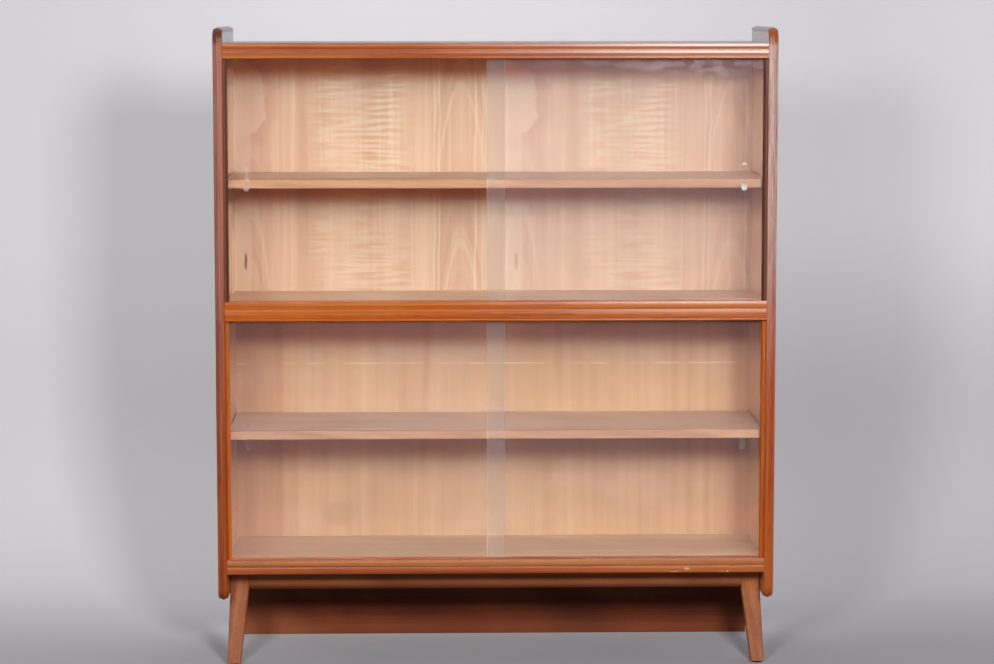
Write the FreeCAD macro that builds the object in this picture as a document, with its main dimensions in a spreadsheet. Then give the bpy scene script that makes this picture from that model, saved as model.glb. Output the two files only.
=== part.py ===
import FreeCAD, Part
import math
import os
import Sketcher

# A tall bookcase with two glazed compartments, each closed by two overlapping sliding panes.
# The carcass stands between two long side panels on a stand of two raked front legs and a
# full-width rear board. X runs across the width, -Y faces the room and Z is up. The origin is
# on the floor, in the middle of the width and of the depth. All lengths are in millimetres.

doc = FreeCAD.newDocument("bookcase")

# Driving sizes

SIZES = [
    # the whole piece
    ("overall_width", 1200),
    ("overall_depth", 320),
    ("base_height", 201),
    ("compartment_height", 538),
    ("board_thickness", 22),
    ("side_thickness", 20),
    ("side_rise", 33),
    ("side_drop", 60),
    ("side_corner_radius", 28),
    # beaded lipping round the side panels
    ("lipping_depth", 10.5),
    ("bead_width", 6),
    ("bead_rise", 1.5),
    ("shoulder_drop", 3.5),
    ("shoulder_arris", 1.5),
    # profiled fascias in front of the boards
    ("fascia_setback", 4),
    ("fascia_depth", 12),
    ("lip_up", 8),
    ("lip_down", 11),
    ("band_rise", 1),
    ("band_step", 1.6),
    ("band_groove", 1.4),
    ("thin_bead_height", 5),
    ("top_band_height", 13.5),
    ("middle_band_height", 16),
    ("bottom_band_height", 15),
    # housings of the boards and rebates of the back
    ("housing_depth", 6),
    ("back_thickness", 5),
    ("back_inset", 2),
    ("back_rebate", 8),
    ("back_side_gap", 0.5),
    ("back_joint_gap", 1),
    # grooved runners for the panes
    ("runner_front_wall", 3),
    ("groove_width", 5),
    ("runner_middle_wall", 5),
    ("runner_rear_wall", 6),
    ("lower_groove_depth", 5),
    ("upper_groove_depth", 8.5),
    ("channel_thickness", 8),
    ("channel_groove_depth", 5),
    # sliding panes
    ("glass_thickness", 4),
    ("glass_rest_gap", 0.3),
    ("glass_lift_gap", 0.5),
    ("glass_end_gap", 0.5),
    ("glass_overlap", 38),
    ("glass_arris", 0.5),
    ("pull_width", 12),
    ("pull_height", 60),
    ("pull_depth", 1.5),
    ("pull_inset", 44),
    ("pull_rise", 271),
    # shelves on turned pins
    ("shelf_thickness", 19),
    ("shelf_lipping_depth", 6),
    ("shelf_edge_radius", 1.5),
    ("shelf_end_gap", 2.5),
    ("shelf_front_gap", 5),
    ("shelf_back_gap", 2),
    ("upper_shelf_rise", 249),
    ("lower_shelf_rise", 265),
    ("pin_radius", 3),
    ("pin_shank", 8),
    ("pin_nose", 9),
    ("pin_inset", 40),
    ("pin_end_gap", 1),
    ("pin_arris", 1),
    ("hole_clearance", 0.1),
    # stand
    ("leg_width", 40.5),
    ("leg_foot_width", 28),
    ("leg_splay", 2.5),
    ("leg_forward", 64),
    ("leg_depth", 34),
    ("leg_foot_depth", 26),
    ("leg_side_gap", 0.5),
    ("leg_setback", 72),
    ("knee_drop", 50),
    ("knee_radius", 100),
    ("leg_arris", 2),
    ("rail_height", 49),
    ("rail_thickness", 20),
    ("rail_setback", 2),
    ("rail_edge_radius", 9),
    ("rear_board_thickness", 18),
    ("rear_board_gap", 6),
    ("rear_board_arris", 1),
    ("block_reach", 45),
    ("block_height", 28),
    ("screw_inset", 15),
    ("screw_radius", 2),
    ("screw_head_radius", 4),
    ("screw_bite", 12),
    ("glide_radius", 11),
    ("glide_height", 4),
    # one overrun that every through cut uses
    ("overrun", 5),
]

sheet = doc.addObject("Spreadsheet::Sheet", "sizes")
for row, (alias, number) in enumerate(SIZES, start=1):
    sheet.set("A%d" % row, alias)
    sheet.set("B%d" % row, str(number))
    sheet.setAlias("B%d" % row, alias)
doc.recompute()


class Size:
    """A length together with the sheet expression that gives it."""

    def __init__(self, value, text):
        self.value = value
        self.text = text

    def joined(self, sign, other, value):
        other_text = other.text if isinstance(other, Size) else repr(other)
        return Size(value, "(%s %s %s)" % (self.text, sign, other_text))

    def __add__(self, other):
        return self.joined("+", other, self.value + amount(other))

    def __sub__(self, other):
        return self.joined("-", other, self.value - amount(other))

    def __mul__(self, other):
        return self.joined("*", other, self.value * amount(other))

    def __truediv__(self, other):
        return self.joined("/", other, self.value / amount(other))

    def __neg__(self):
        return Size(-self.value, "(0 - %s)" % self.text)


def amount(length):
    return length.value if isinstance(length, Size) else length


class Sheet:
    """Gives each cell of the sheet as a Size, by its alias."""


size = Sheet()
for alias, number in SIZES:
    setattr(size, alias, Size(number, "sizes." + alias))


# Derived places, shared by the pieces that meet there

front = -(size.overall_depth / 2)
rear = size.overall_depth / 2
half_width = size.overall_width / 2
half_inside = half_width - size.side_thickness

bottom_board_under = size.base_height
bottom_board_top = bottom_board_under + size.board_thickness
middle_board_under = bottom_board_top + size.compartment_height
middle_board_top = middle_board_under + size.board_thickness
top_board_under = middle_board_top + size.compartment_height
top_board_top = top_board_under + size.board_thickness
side_top = top_board_top + size.side_rise
side_bottom = bottom_board_under - size.side_drop

core_front = front + size.lipping_depth
core_top = side_top - size.lipping_depth
core_bottom = side_bottom + size.lipping_depth
core_radius = size.side_corner_radius - size.lipping_depth

fascia_front = front + size.fascia_setback
fascia_rear = fascia_front + size.fascia_depth
back_rear = rear - size.back_inset
back_front = back_rear - size.back_thickness

front_groove = fascia_rear + size.runner_front_wall
rear_groove = front_groove + size.groove_width + size.runner_middle_wall
runner_rear = rear_groove + size.groove_width + size.runner_rear_wall
channel_web = size.channel_thickness - size.channel_groove_depth
half_run = half_inside - channel_web

shelf_front = runner_rear + size.shelf_front_gap
shelf_rear = back_front - size.shelf_back_gap
half_shelf = half_inside - size.shelf_end_gap
pin_front = shelf_front + size.pin_inset
pin_rear = shelf_rear - size.pin_inset

leg_front = front + size.leg_setback
leg_rear = leg_front + size.leg_depth
leg_outer = half_inside - size.leg_side_gap
leg_inner = leg_outer - size.leg_width
foot_outer = leg_outer + size.leg_splay
foot_inner = foot_outer - size.leg_foot_width
foot_front = leg_front - size.leg_forward
knee = size.base_height - size.knee_drop
rail_bottom = size.base_height - size.rail_height
rail_front = leg_front + size.rail_setback
rail_rear = rail_front + size.rail_thickness
rear_board_rear = back_front
rear_board_front = rear_board_rear - size.rear_board_thickness

SIDES = (("left", -1), ("right", 1))
COMPARTMENTS = (
    ("upper", middle_board_top, top_board_under, size.upper_shelf_rise),
    ("lower", bottom_board_top, middle_board_under, size.lower_shelf_rise),
)


# Helpers

def bind(item, path, length):
    """Tie one property of an object to the sheet."""
    if isinstance(length, Size):
        item.setExpression(path, length.text)


def make_body(label):
    body = doc.addObject("PartDesign::Body", label)
    body.Label = label
    return body


def place(body, x=0, y=0, z=0, turn=0):
    """Move a body to a place given by sizes, turned about Z by whole degrees."""
    spin = FreeCAD.Rotation(FreeCAD.Vector(0, 0, 1), turn)
    body.Placement = FreeCAD.Placement(FreeCAD.Vector(amount(x), amount(y), amount(z)), spin)
    bind(body, "Placement.Base.x", x)
    bind(body, "Placement.Base.y", y)
    bind(body, "Placement.Base.z", z)


def sketch_on(body, role, name, out=0, along=0, up=0):
    """Start a sketch on an origin plane of its body, moved out of the plane or within it."""
    plane = next(item for item in body.Origin.OriginFeatures if item.Role == role)
    sketch = body.newObject("Sketcher::SketchObject", name)
    sketch.AttachmentSupport = [(plane, "")]
    sketch.MapMode = "FlatFace"
    sketch.AttachmentOffset = FreeCAD.Placement(
        FreeCAD.Vector(amount(along), amount(up), amount(out)), FreeCAD.Rotation())
    bind(sketch, "AttachmentOffset.Base.x", along)
    bind(sketch, "AttachmentOffset.Base.y", up)
    bind(sketch, "AttachmentOffset.Base.z", out)
    return sketch


def fix_point(sketch, edge, end, x, y):
    """Hold one end of an edge at a place given by sizes."""
    for kind, length, axis in (("DistanceX", x, -2), ("DistanceY", y, -1)):
        if isinstance(length, Size):
            number = sketch.addConstraint(Sketcher.Constraint(kind, -1, 1, edge, end, length.value))
            sketch.setExpression("Constraints[%d]" % number, length.text)
        else:
            sketch.addConstraint(Sketcher.Constraint("PointOnObject", edge, end, axis))


def arc_between(start, finish, radius, turn):
    """The short arc from start to finish, to the left for turn 1 and to the right for turn -1."""
    chord = finish - start
    reach = math.sqrt(max(radius * radius - chord.Length * chord.Length / 4, 0))
    across = FreeCAD.Vector(-chord.y, chord.x, 0).normalize()
    centre = (start + finish) / 2 + across * (reach * turn)
    first, last = (start, finish) if turn > 0 else (finish, start)
    angles = [math.atan2(end.y - centre.y, end.x - centre.x) for end in (first, last)]
    if angles[1] < angles[0]:
        angles[1] += 2 * math.pi
    circle = Part.Circle(centre, FreeCAD.Vector(0, 0, 1), radius)
    return Part.ArcOfCircle(circle, angles[0], angles[1])


def vector(corner):
    return FreeCAD.Vector(amount(corner[0]), amount(corner[1]), 0)


def round_corner(before, corner, after, radius):
    """Tangent points and turn of an arc that rounds a corner between two straight lines."""
    back = (before - corner).normalize()
    ahead = (after - corner).normalize()
    half_angle = back.getAngle(ahead) / 2
    reach = radius / math.tan(half_angle)
    turn = 1 if back.cross(ahead).z < 0 else -1
    return corner + back * reach, corner + ahead * reach, turn


def outline(sketch, corners, closed=True):
    """Join corners by lines. A corner is (x, y), or (x, y, radius) where it is rounded, or
    (x, y, radius, turn) where an arc leaves it for the next corner."""
    first = sketch.GeometryCount
    count = len(corners)
    edges = []
    joints = []
    for index, corner in enumerate(corners):
        start = vector(corner)
        if len(corner) == 3:
            before, after = vector(corners[index - 1]), vector(corners[(index + 1) % count])
            entry, start, turn = round_corner(before, start, after, amount(corner[2]))
            joints.append(("rounded", len(edges), corner))
            edges.append((entry, amount(corner[2]), turn))
        else:
            joints.append(("sharp", len(edges), corner))
        leaves_by_arc = len(corner) == 4
        edges.append((start, amount(corner[2]), corner[3]) if leaves_by_arc else (start, 0, 0))
    if not closed:
        last_point = edges.pop()[0]
    ends = []
    for index, (start, radius, turn) in enumerate(edges):
        at_end = index == len(edges) - 1
        finish = last_point if at_end and not closed else edges[(index + 1) % len(edges)][0]
        if radius:
            sketch.addGeometry(arc_between(start, finish, radius, turn), False)
        else:
            sketch.addGeometry(Part.LineSegment(start, finish), False)
        ends.append((2, 1) if turn < 0 else (1, 2))

    def link(kind, one, other):
        sketch.addConstraint(Sketcher.Constraint(kind, first + one, ends[one][1], first + other, ends[other][0]))

    for kind, index, corner in joints:
        before = index - 1 if index else len(edges) - 1
        if kind == "rounded":
            after = (index + 1) % len(edges)
            link("Tangent", before, index)
            link("Tangent", index, after)
            number = sketch.addConstraint(Sketcher.Constraint("Radius", first + index, amount(corner[2])))
            sketch.setExpression("Constraints[%d]" % number, corner[2].text)
            mark = sketch.addGeometry(Part.Point(vector(corner)), True)
            fix_point(sketch, mark, 1, corner[0], corner[1])
            for line in (before, after):
                sketch.addConstraint(Sketcher.Constraint("PointOnObject", mark, 1, first + line))
        elif index < len(edges):
            fix_point(sketch, first + index, ends[index][0], corner[0], corner[1])
            if closed or index:
                link("Coincident", before, index)
            if len(corner) == 4:
                number = sketch.addConstraint(Sketcher.Constraint("Radius", first + index, amount(corner[2])))
                sketch.setExpression("Constraints[%d]" % number, corner[2].text)
        else:
            fix_point(sketch, first + before, ends[before][1], corner[0], corner[1])


def rectangle(sketch, left, right, low, high):
    outline(sketch, [(left, low), (right, low), (right, high), (left, high)])


def circle(sketch, x, y, radius):
    middle = FreeCAD.Vector(amount(x), amount(y), 0)
    edge = sketch.addGeometry(Part.Circle(middle, FreeCAD.Vector(0, 0, 1), radius.value), False)
    fix_point(sketch, edge, 3, x, y)
    number = sketch.addConstraint(Sketcher.Constraint("Radius", edge, radius.value))
    sketch.setExpression("Constraints[%d]" % number, radius.text)


def pad(body, sketch, length, middle=False, reverse=False):
    feature = body.newObject("PartDesign::Pad", "Pad")
    feature.Profile = sketch
    feature.Length = length.value
    bind(feature, "Length", length)
    feature.Midplane = middle
    feature.Reversed = reverse
    doc.recompute()
    return feature


def pocket(body, sketch, length, middle=False, reverse=False):
    """Cut a sketch into its body, and make sure that it took material away."""
    before = body.Shape.Volume
    feature = body.newObject("PartDesign::Pocket", "Pocket")
    feature.Profile = sketch
    feature.Length = length.value
    bind(feature, "Length", length)
    feature.Midplane = middle
    feature.Reversed = reverse
    doc.recompute()
    if not body.Shape.Volume < before:
        raise RuntimeError("a pocket cuts nothing in " + body.Label)
    return feature


def dress(body, kind, edge_names, length):
    """Fillet or chamfer the named edges of the body's last feature."""
    carrier = body.Tip
    feature = body.newObject("PartDesign::" + kind, kind)
    feature.Base = (carrier, edge_names)
    path = "Radius" if kind == "Fillet" else "Size"
    setattr(feature, path, length.value)
    bind(feature, path, length)
    doc.recompute()
    return feature


def edges_where(body, wanted):
    """Names of the edges whose two end points pass the test."""
    names = []
    for index, edge in enumerate(body.Shape.Edges, start=1):
        ends = [vertex.Point for vertex in edge.Vertexes]
        if len(ends) == 2 and wanted(ends[0], ends[1]):
            names.append("Edge%d" % index)
    return names


def near(one, other):
    """True where two coordinates agree to within a small share of the overrun."""
    small_share = 0.002
    return abs(one - amount(other)) < size.overrun.value * small_share


def spun(body, kind, role, axis, corners, **shift):
    """Turn a half section round one of its sketch's axes, to add material or to cut it."""
    sketch = sketch_on(body, role, "HalfSection", **shift)
    outline(sketch, corners)
    doc.recompute()
    feature = body.newObject("PartDesign::" + kind, kind)
    feature.Profile = sketch
    feature.ReferenceAxis = (sketch, [axis])
    full_turn = 360
    feature.Angle = full_turn
    doc.recompute()
    return feature


# Side panels, with housings for the boards, a rebate for the back and holes for the shelf pins

def side_panel(side, sign):
    body = make_body("side_panel_" + side)
    profile = sketch_on(body, "YZ_Plane", "Profile", out=half_inside * sign)
    outline(profile, [
        (rear, core_bottom),
        (rear, core_top),
        (core_front + core_radius, core_top, core_radius, 1),
        (core_front, core_top - core_radius),
        (core_front, core_bottom + core_radius, core_radius, 1),
        (core_front + core_radius, core_bottom),
    ])
    pad(body, profile, size.side_thickness, reverse=sign < 0)

    housings = sketch_on(body, "YZ_Plane", "Housings", out=half_inside * sign)
    for low in (bottom_board_under, middle_board_under, top_board_under):
        rectangle(housings, fascia_rear, back_front, low, low + size.board_thickness)
    pocket(body, housings, size.housing_depth, reverse=sign > 0)

    rebate = sketch_on(body, "YZ_Plane", "Rebate", out=half_inside * sign)
    rectangle(rebate, back_front, rear + size.overrun, bottom_board_under, top_board_top)
    pocket(body, rebate, size.back_rebate, reverse=sign > 0)

    holes = sketch_on(body, "YZ_Plane", "PinHoles", out=half_inside * sign)
    for name, floor, ceiling, rise in COMPARTMENTS:
        for depth in (pin_front, pin_rear):
            circle(holes, depth, floor + rise - size.pin_radius, size.pin_radius + size.hole_clearance)
    pocket(body, holes, size.pin_shank + size.pin_end_gap, reverse=sign > 0)


# Beaded lipping, swept along the top, front and bottom edges of each side panel

def side_lipping(side, sign):
    body = make_body("side_lipping_" + side)
    spine = sketch_on(body, "YZ_Plane", "Spine", out=half_inside * sign)
    outline(spine, [
        (rear, core_top),
        (core_front + core_radius, core_top, core_radius, 1),
        (core_front, core_top - core_radius),
        (core_front, core_bottom + core_radius, core_radius, 1),
        (core_front + core_radius, core_bottom),
        (rear, core_bottom),
    ], closed=False)

    valley = side_top - size.bead_rise
    shoulder = side_top - size.shoulder_drop
    outer = half_width * sign
    inner = half_inside * sign
    middle = (half_width - size.side_thickness / 2) * sign
    half_bead = size.bead_width / 2
    bead_radius = (half_bead * half_bead + size.bead_rise * size.bead_rise) / (size.bead_rise * 2)
    section = sketch_on(body, "XZ_Plane", "Section", out=-rear)
    outline(section, [
        (inner, core_top),
        (inner, shoulder - size.shoulder_arris),
        (inner + size.shoulder_arris * sign, shoulder),
        (middle - half_bead * sign, valley, bead_radius, -sign),
        (middle + half_bead * sign, valley),
        (outer - size.shoulder_arris * sign, shoulder),
        (outer, shoulder - size.shoulder_arris),
        (outer, core_top),
    ])
    doc.recompute()
    sweep = body.newObject("PartDesign::AdditivePipe", "Sweep")
    sweep.Profile = section
    sweep.Spine = (spine, ["Edge%d" % (index + 1) for index in range(spine.GeometryCount)])
    doc.recompute()


# Boards, housed in the side panels, each with a profiled fascia along its front edge

def board(label, low, screws=False):
    body = make_body(label)
    half_length = half_inside + size.housing_depth
    plan = sketch_on(body, "XY_Plane", "Plan", out=low)
    rectangle(plan, -half_length, half_length, fascia_rear, back_front)
    pad(body, plan, size.board_thickness)
    if screws:
        pilots = sketch_on(body, "XY_Plane", "Pilots", out=low)
        for x, y, turn in screw_places():
            circle(pilots, x, y, size.screw_radius + size.hole_clearance)
        pocket(body, pilots, size.screw_bite + size.pin_end_gap, reverse=True)


def fascia(label, low, heights):
    """A strip of convex bands with narrow grooves between them, upright between the sides."""
    body = make_body(label)
    face = fascia_front + size.band_rise
    groove_floor = face + size.band_step
    bands = []
    level = low
    for index, height in enumerate(heights):
        start = level if index == 0 else level + size.band_groove / 2
        level = level + height
        finish = level if index == len(heights) - 1 else level - size.band_groove / 2
        bands.append((start, finish))
    corners = [(fascia_rear, level), (fascia_rear, low)]
    for index, (start, finish) in enumerate(bands):
        half = (finish - start) / 2
        radius = (half * half + size.band_rise * size.band_rise) / (size.band_rise * 2)
        corners.append((face, start, radius, -1))
        corners.append((face, finish))
        if index < len(bands) - 1:
            corners.append((groove_floor, finish))
            corners.append((groove_floor, bands[index + 1][0]))
    section = sketch_on(body, "YZ_Plane", "Section")
    outline(section, corners)
    pad(body, section, half_inside * 2, middle=True)


# Back panels, in the rebates of the side panels and meeting behind the middle board

def back_panel(label, low, high):
    body = make_body(label)
    half_length = half_inside + size.back_rebate - size.back_side_gap
    face = sketch_on(body, "XZ_Plane", "Face", out=-back_front)
    rectangle(face, -half_length, half_length, low, high)
    pad(body, face, size.back_thickness, reverse=True)


# Shelves and their front lippings

def shelf(compartment, low):
    body = make_body(compartment + "_shelf")
    plan = sketch_on(body, "XY_Plane", "Plan", out=low)
    rectangle(plan, -half_shelf, half_shelf, shelf_front + size.shelf_lipping_depth, shelf_rear)
    pad(body, plan, size.shelf_thickness)

    lipping = make_body(compartment + "_shelf_lipping")
    lipping_rear = shelf_front + size.shelf_lipping_depth
    edge = size.shelf_edge_radius
    high = low + size.shelf_thickness
    section = sketch_on(lipping, "YZ_Plane", "Section")
    outline(section, [
        (lipping_rear, low),
        (lipping_rear, high),
        (shelf_front + edge, high, edge, 1),
        (shelf_front, high - edge),
        (shelf_front, low + edge, edge, 1),
        (shelf_front + edge, low),
    ])
    pad(lipping, section, half_shelf * 2, middle=True)


# Turned shelf pins, each with its shank in the side panel and its nose under the shelf

def shelf_pins(compartment, low):
    number = 0
    for side, sign in SIDES:
        for depth in (pin_front, pin_rear):
            number += 1
            body = make_body("%s_shelf_pin_%d" % (compartment, number))
            spun(body, "Revolution", "XZ_Plane", "H_Axis", [
                (-size.pin_shank, 0),
                (-size.pin_shank, size.pin_radius),
                (size.pin_nose - size.pin_arris, size.pin_radius),
                (size.pin_nose, size.pin_radius - size.pin_arris),
                (size.pin_nose, 0),
            ])
            half_turn = 180
            place(body, half_inside * sign, depth, low - size.pin_radius, half_turn if sign > 0 else 0)


# Runners with two grooves above and below the panes, and upright channels at the sides

def runner(label, base, high, groove_depth, up):
    """A grooved strip. It stands on the level base, or hangs from it, and its grooves face the pane."""
    body = make_body(label)
    mouth = base + high * up
    floor = mouth - groove_depth * up
    corners = [(fascia_rear, base), (fascia_rear, mouth)]
    for groove in (front_groove, rear_groove):
        corners += [
            (groove, mouth),
            (groove, floor),
            (groove + size.groove_width, floor),
            (groove + size.groove_width, mouth),
        ]
    corners += [(runner_rear, mouth), (runner_rear, base)]
    section = sketch_on(body, "YZ_Plane", "Section")
    outline(section, corners)
    pad(body, section, half_inside * 2, middle=True)


def side_channel(compartment, side, sign, floor, ceiling):
    body = make_body("%s_channel_%s" % (compartment, side))
    base = half_inside * sign
    mouth = (half_inside - size.channel_thickness) * sign
    groove_floor = (half_inside - channel_web) * sign
    corners = [(base, fascia_rear), (mouth, fascia_rear)]
    for groove in (front_groove, rear_groove):
        corners += [
            (mouth, groove),
            (groove_floor, groove),
            (groove_floor, groove + size.groove_width),
            (mouth, groove + size.groove_width),
        ]
    corners += [(mouth, runner_rear), (base, runner_rear)]
    low = floor + size.lip_up
    plan = sketch_on(body, "XY_Plane", "Plan", out=low)
    outline(plan, corners)
    pad(body, plan, ceiling - size.lip_down - low)


# Sliding panes. The left one runs in the front grooves and the right one in the rear grooves.

def pane(compartment, side, sign, floor, ceiling):
    body = make_body("%s_glass_%s" % (compartment, side))
    groove = front_groove if sign < 0 else rear_groove
    face = groove + (size.groove_width - size.glass_thickness) / 2
    low = floor + size.lip_up - size.lower_groove_depth + size.glass_rest_gap
    upper_groove_floor = ceiling - size.lip_down + size.upper_groove_depth
    high = upper_groove_floor - size.lower_groove_depth - size.glass_lift_gap
    outer = (half_run - size.glass_end_gap) * sign
    inner = (size.glass_overlap / 2) * -sign
    plate = sketch_on(body, "XZ_Plane", "Plate", out=-face)
    rectangle(plate, outer, inner, low, high)
    pad(body, plate, size.glass_thickness, reverse=True)
    long_edge = size.pull_height.value
    dress(body, "Chamfer", edges_where(body, lambda a, b: (a - b).Length > long_edge), size.glass_arris)

    pull = sketch_on(body, "XZ_Plane", "Pull", out=-face)
    middle = outer - size.pull_inset * sign
    half = size.pull_width / 2
    centre_height = low + size.pull_rise
    straight = size.pull_height / 2 - half
    outline(pull, [
        (middle + half, centre_height - straight),
        (middle + half, centre_height + straight, half, 1),
        (middle, centre_height + straight + half, half, 1),
        (middle - half, centre_height + straight),
        (middle - half, centre_height - straight, half, 1),
        (middle, centre_height - straight - half, half, 1),
    ])
    pocket(body, pull, size.pull_depth)


# Stand: raked legs on glides, rails, a rear board on the floor, and screwed corner blocks

def leg(side, sign):
    """A blank shaped from the side, then sawn to its front outline on both edges."""
    body = make_body("front_leg_" + side)
    high = size.base_height
    low = size.glide_height
    side_view = sketch_on(body, "YZ_Plane", "SideView", out=leg_inner * sign)
    outline(side_view, [
        (leg_rear, high),
        (leg_front, high),
        (leg_front, knee, size.knee_radius),
        (foot_front, low),
        (foot_front + size.leg_foot_depth, low),
        (leg_rear, knee, size.knee_radius),
    ])
    pad(body, side_view, size.leg_width + size.leg_splay, reverse=sign < 0)

    front_view = sketch_on(body, "XZ_Plane", "FrontView", out=-foot_front + size.overrun)
    outline(front_view, [
        (leg_outer * sign, high + size.overrun),
        (leg_outer * sign, knee, size.knee_radius),
        (foot_outer * sign, low),
        (foot_outer * sign, low - size.overrun),
        ((foot_outer + size.overrun) * sign, low - size.overrun),
        ((foot_outer + size.overrun) * sign, high + size.overrun),
    ])
    outline(front_view, [
        (leg_inner * sign, high),
        (leg_inner * sign, knee, size.knee_radius),
        (foot_inner * sign, low),
        (foot_inner * sign, low - size.overrun),
        ((leg_inner - size.overrun) * sign, low - size.overrun),
        ((leg_inner - size.overrun) * sign, high),
    ])
    pocket(body, front_view, leg_rear - foot_front + size.overrun * 2)

    def along_leg(one, other):
        return not near(one.z, other.z)

    dress(body, "Chamfer", edges_where(body, along_leg), size.leg_arris)


def glide(side, sign):
    body = make_body("glide_" + side)
    spun(body, "Revolution", "XZ_Plane", "V_Axis", [
        (0, 0),
        (size.glide_radius, 0),
        (size.glide_radius, size.glide_height),
        (0, size.glide_height),
    ])
    foot_middle = (foot_outer + foot_inner) / 2
    place(body, foot_middle * sign, foot_front + size.leg_foot_depth / 2)


def front_rail():
    body = make_body("front_rail")
    edge = size.rail_edge_radius
    section = sketch_on(body, "YZ_Plane", "Section")
    outline(section, [
        (rail_rear, rail_bottom),
        (rail_rear, size.base_height),
        (rail_front, size.base_height),
        (rail_front, rail_bottom + edge, edge, 1),
        (rail_front + edge, rail_bottom),
    ])
    pad(body, section, leg_inner * 2, middle=True)


def side_rail(side, sign):
    body = make_body("side_rail_" + side)
    face = sketch_on(body, "YZ_Plane", "Face", out=leg_inner * sign)
    rectangle(face, leg_rear, rear_board_front, rail_bottom, size.base_height)
    pad(body, face, size.rail_thickness, reverse=sign < 0)


def rear_board():
    body = make_body("rear_board")
    half_length = half_inside - size.rear_board_gap
    face = sketch_on(body, "XZ_Plane", "Face", out=-rear_board_front)
    rectangle(face, -half_length, half_length, 0, size.base_height)
    pad(body, face, size.rear_board_thickness, reverse=True)

    def at_floor(one, other):
        return near(one.z, 0) and near(other.z, 0) and near(one.y, other.y)

    dress(body, "Chamfer", edges_where(body, at_floor), size.rear_board_arris)


def block_places():
    """Inner corners of the stand, with the turn that points a block into each."""
    return (
        (leg_inner, rail_rear, 90),
        (-leg_inner, rail_rear, 0),
        (-leg_inner, rear_board_front, 270),
        (leg_inner, rear_board_front, 180),
    )


def screw_places():
    """Screw axes, each set in from its corner by the same distance along both rails."""
    places = []
    for x, y, turn in block_places():
        inward_x = -1 if x.value > 0 else 1
        inward_y = 1 if y.value < 0 else -1
        places.append((x + size.screw_inset * inward_x, y + size.screw_inset * inward_y, turn))
    return places


def screw_section(clearance):
    """Half of a countersunk screw about its own axis, upright, its head at the bottom."""
    shank = size.screw_radius + clearance
    head = size.screw_head_radius + clearance
    head_depth = size.screw_head_radius - size.screw_radius
    return [
        (0, 0),
        (head, 0),
        (shank, head_depth),
        (shank, size.block_height + size.screw_bite),
        (0, size.block_height + size.screw_bite),
    ]


def corner_block(number, x, y, turn):
    body = make_body("corner_block_%d" % number)
    plan = sketch_on(body, "XY_Plane", "Plan")
    outline(plan, [(0, 0), (size.block_reach, 0), (0, size.block_reach)])
    pad(body, plan, size.block_height)
    before = body.Shape.Volume
    spun(body, "Groove", "XZ_Plane", "V_Axis", screw_section(size.hole_clearance),
         along=size.screw_inset, out=-size.screw_inset)
    if not body.Shape.Volume < before:
        raise RuntimeError("the screw hole cuts nothing in " + body.Label)
    place(body, x, y, size.base_height - size.block_height, turn)


def block_screw(number, x, y):
    body = make_body("block_screw_%d" % number)
    no_clearance = size.hole_clearance * 0
    spun(body, "Revolution", "XZ_Plane", "V_Axis", screw_section(no_clearance))
    place(body, x, y, size.base_height - size.block_height)


# The whole piece

for side, sign in SIDES:
    side_panel(side, sign)
    side_lipping(side, sign)
    leg(side, sign)
    glide(side, sign)
    side_rail(side, sign)

board("top_board", top_board_under)
board("middle_board", middle_board_under)
board("bottom_board", bottom_board_under, screws=True)

top_low = top_board_under - size.lip_down
top_height = top_board_top - top_low
fascia("top_fascia", top_low, [
    size.thin_bead_height,
    top_height - size.thin_bead_height - size.top_band_height,
    size.top_band_height,
])
middle_low = middle_board_under - size.lip_down
middle_height = middle_board_top + size.lip_up - middle_low
fascia("middle_fascia", middle_low, [
    size.thin_bead_height,
    middle_height - size.thin_bead_height - size.middle_band_height,
    size.middle_band_height,
])
bottom_height = size.board_thickness + size.lip_up
fascia("bottom_fascia", bottom_board_under, [
    bottom_height - size.bottom_band_height,
    size.bottom_band_height,
])

back_joint = middle_board_under + size.board_thickness / 2
back_panel("upper_back", back_joint + size.back_joint_gap / 2, top_board_top)
back_panel("lower_back", bottom_board_under, back_joint - size.back_joint_gap / 2)

for name, floor, ceiling, rise in COMPARTMENTS:
    shelf(name, floor + rise)
    shelf_pins(name, floor + rise)
    runner(name + "_runner_bottom", floor, size.lip_up, size.lower_groove_depth, 1)
    runner(name + "_runner_top", ceiling, size.lip_down, size.upper_groove_depth, -1)
    for side, sign in SIDES:
        side_channel(name, side, sign, floor, ceiling)
        pane(name, side, sign, floor, ceiling)

front_rail()
rear_board()
for number, (x, y, turn) in enumerate(block_places(), start=1):
    corner_block(number, x, y, turn)
for number, (x, y, turn) in enumerate(screw_places(), start=1):
    block_screw(number, x, y)

doc.recompute()

# Every object is sound before anything is written

for item in doc.Objects:
    if "Invalid" in item.State or "Error" in item.State:
        raise RuntimeError("failed object: " + item.Name + " " + item.Label)

bodies = [item for item in doc.Objects if item.TypeId == "PartDesign::Body"]
for body in bodies:
    if body.Shape.isNull() or not body.Shape.isValid() or len(body.Shape.Solids) != 1:
        raise RuntimeError("bad shape: " + body.Label)

os.makedirs("parts", exist_ok=True)
for body in bodies:
    body.Shape.exportStep("parts/" + body.Label + ".step")

travel = half_run * 2 - size.glass_end_gap * 2 - (half_run - size.glass_end_gap + size.glass_overlap / 2)
print("%d sub-parts written, pane travel %.1f mm" % (len(bodies), travel.value))
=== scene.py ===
import math
from functools import reduce

import bpy
from mathutils import Matrix, Vector

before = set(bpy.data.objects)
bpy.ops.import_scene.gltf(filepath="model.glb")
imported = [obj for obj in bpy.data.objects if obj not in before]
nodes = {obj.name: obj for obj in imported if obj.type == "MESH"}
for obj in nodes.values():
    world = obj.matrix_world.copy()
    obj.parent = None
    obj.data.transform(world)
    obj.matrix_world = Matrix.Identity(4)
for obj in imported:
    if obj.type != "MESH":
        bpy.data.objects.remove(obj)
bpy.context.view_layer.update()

scene = bpy.context.scene

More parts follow.
